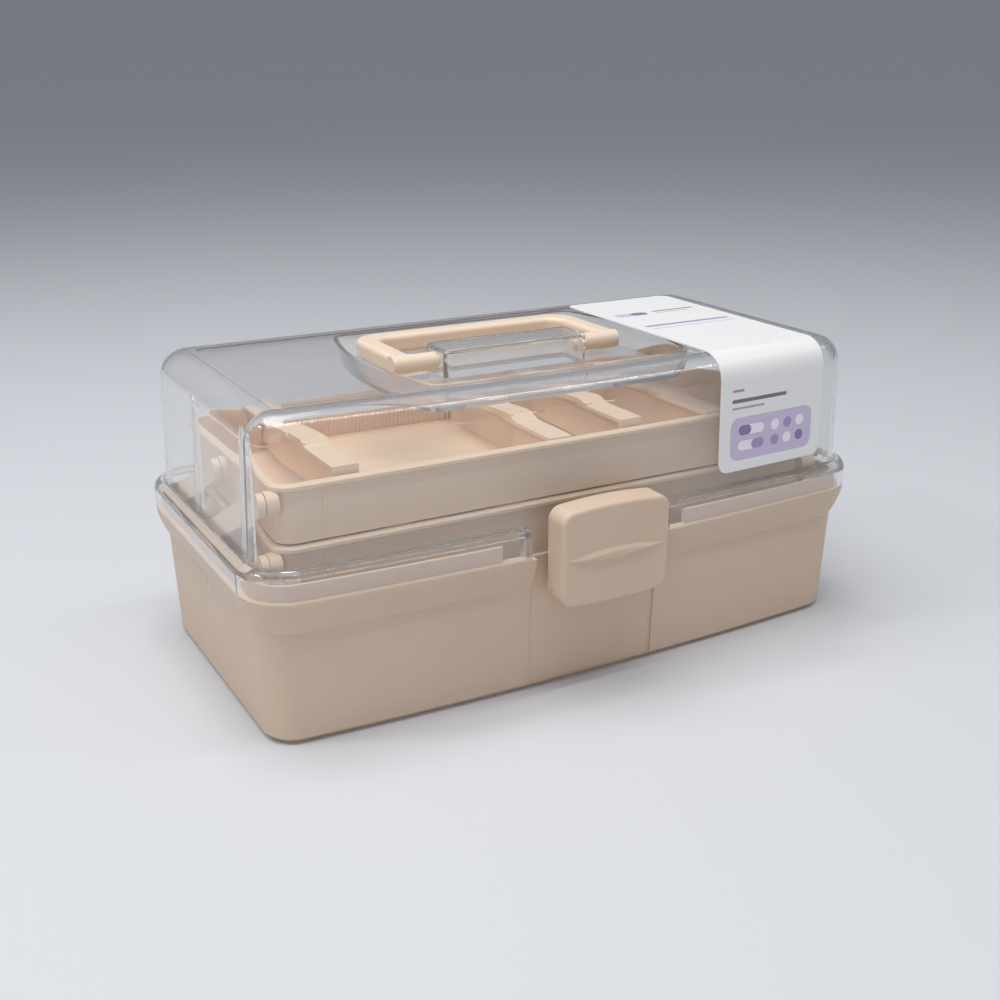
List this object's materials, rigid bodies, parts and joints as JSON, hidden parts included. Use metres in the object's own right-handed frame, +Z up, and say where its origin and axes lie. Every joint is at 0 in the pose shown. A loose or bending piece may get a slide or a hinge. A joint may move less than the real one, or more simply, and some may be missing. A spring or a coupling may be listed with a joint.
{
  "type": "medicine storage box",
  "caption": "Carry box with a clear hinged lid, folding handle, snap latch and two divided trays that fan out on side arms over a deep base.",
  "frame": {"origin": "centre of the base's flat underside", "axes": "+X along the box to the viewer's right, -Y towards the latch, +Z up"},
  "size_m": [0.32, 0.1882, 0.1446],
  "materials": {
    "beige_polypropylene": "satin moulded",
    "cream_polypropylene": "satin moulded",
    "clear_polypropylene": "clear, slightly hazy",
    "coated_card": "coated paper card"
  },
  "bodies": {
    "base": {"base_tub": "beige_polypropylene"},
    "lid": {"clear_lid": "clear_polypropylene", "label_card": "coated_card"},
    "handle": {"carry_handle": "cream_polypropylene"},
    "latch": {"front_latch": "beige_polypropylene"},
    "long_arm_l": {"long_arm_left": "cream_polypropylene"},
    "long_arm_r": {"long_arm_right": "cream_polypropylene"},
    "front_arm_l": {"lower_front_arm_left": "cream_polypropylene"},
    "front_arm_r": {"lower_front_arm_right": "cream_polypropylene"},
    "rear_arm_l": {"upper_rear_arm_left": "cream_polypropylene"},
    "rear_arm_r": {"upper_rear_arm_right": "cream_polypropylene"},
    "lower_tray_body": {"lower_tray": "cream_polypropylene", "lower_divider_1": "cream_polypropylene", "lower_divider_2": "cream_polypropylene", "lower_divider_3": "cream_polypropylene", "lower_divider_4": "cream_polypropylene"},
    "upper_tray_body": {"upper_tray": "cream_polypropylene"},
    "divider_1": {"upper_divider_1": "cream_polypropylene"},
    "divider_2": {"upper_divider_2": "cream_polypropylene"},
    "divider_3": {"upper_divider_3": "cream_polypropylene"},
    "divider_4": {"upper_divider_4": "cream_polypropylene"}
  },
  "joints": [
    {"name": "lid_hinge", "type": "hinge", "parent": "base", "child": "lid", "pos_m": [0, 0.0846, 0.07], "axis": [-1, 0, 0], "range_deg": [0, 110]},
    {"name": "handle_pivot", "type": "hinge", "parent": "lid", "child": "handle", "pos_m": [0, 0, 0.138], "axis": [1, 0, 0], "range_deg": [0, 180]},
    {"name": "latch_pivot", "type": "hinge", "parent": "base", "child": "latch", "pos_m": [0, -0.09, 0.0521], "axis": [1, 0, 0], "range_deg": [0, 100]},
    {"name": "long_arm_l_base_pivot", "type": "hinge", "parent": "base", "child": "long_arm_l", "pos_m": [0, 0.052, 0.048], "axis": [-1, 0, 0], "range_deg": [0, 55]},
    {"name": "front_arm_l_base_pivot", "type": "hinge", "parent": "base", "child": "front_arm_l", "pos_m": [0, -0.001, 0.048], "axis": [-1, 0, 0], "range_deg": [0, 55]},
    {"name": "rear_arm_l_tray_pivot", "type": "hinge", "parent": "lower_tray_body", "child": "rear_arm_l", "pos_m": [0, 0.052, 0.075], "axis": [-1, 0, 0], "range_deg": [0, 55]},
    {"name": "long_arm_r_base_pivot", "type": "hinge", "parent": "base", "child": "long_arm_r", "pos_m": [0, 0.052, 0.048], "axis": [-1, 0, 0], "range_deg": [0, 55]},
    {"name": "front_arm_r_base_pivot", "type": "hinge", "parent": "base", "child": "front_arm_r", "pos_m": [0, -0.001, 0.048], "axis": [-1, 0, 0], "range_deg": [0, 55]},
    {"name": "rear_arm_r_tray_pivot", "type": "hinge", "parent": "lower_tray_body", "child": "rear_arm_r", "pos_m": [0, 0.052, 0.075], "axis": [-1, 0, 0], "range_deg": [0, 55]},
    {"name": "lower_tray_pivot", "type": "hinge", "parent": "long_arm_l", "child": "lower_tray_body", "pos_m": [0, -0.001, 0.075], "axis": [1, 0, 0], "range_deg": [0, 55]},
    {"name": "upper_tray_pivot", "type": "hinge", "parent": "long_arm_l", "child": "upper_tray_body", "pos_m": [0, -0.054, 0.102], "axis": [1, 0, 0], "range_deg": [0, 55]},
    {"name": "divider_1_lift", "type": "slide", "parent": "upper_tray_body", "child": "divider_1", "axis": [0, 0, 1], "range_m": [-0.0035, 0.011]},
    {"name": "divider_2_lift", "type": "slide", "parent": "upper_tray_body", "child": "divider_2", "axis": [0, 0, 1], "range_m": [0, 0.014]},
    {"name": "divider_3_lift", "type": "slide", "parent": "upper_tray_body", "child": "divider_3", "axis": [0, 0, 1], "range_m": [-0.0035, 0.011]},
    {"name": "divider_4_lift", "type": "slide", "parent": "upper_tray_body", "child": "divider_4", "axis": [0, 0, 1], "range_m": [0, 0.014]}
  ],
  "couplings": [
    {"joint": "long_arm_l_base_pivot", "follows": "lid_hinge", "ratio": 0.5},
    {"joint": "front_arm_l_base_pivot", "follows": "lid_hinge", "ratio": 0.5},
    {"joint": "rear_arm_l_tray_pivot", "follows": "lid_hinge", "ratio": 0.5},
    {"joint": "long_arm_r_base_pivot", "follows": "lid_hinge", "ratio": 0.5},
    {"joint": "front_arm_r_base_pivot", "follows": "lid_hinge", "ratio": 0.5},
    {"joint": "rear_arm_r_tray_pivot", "follows": "lid_hinge", "ratio": 0.5},
    {"joint": "lower_tray_pivot", "follows": "lid_hinge", "ratio": 0.5},
    {"joint": "upper_tray_pivot", "follows": "lid_hinge", "ratio": 0.5}
  ]
}
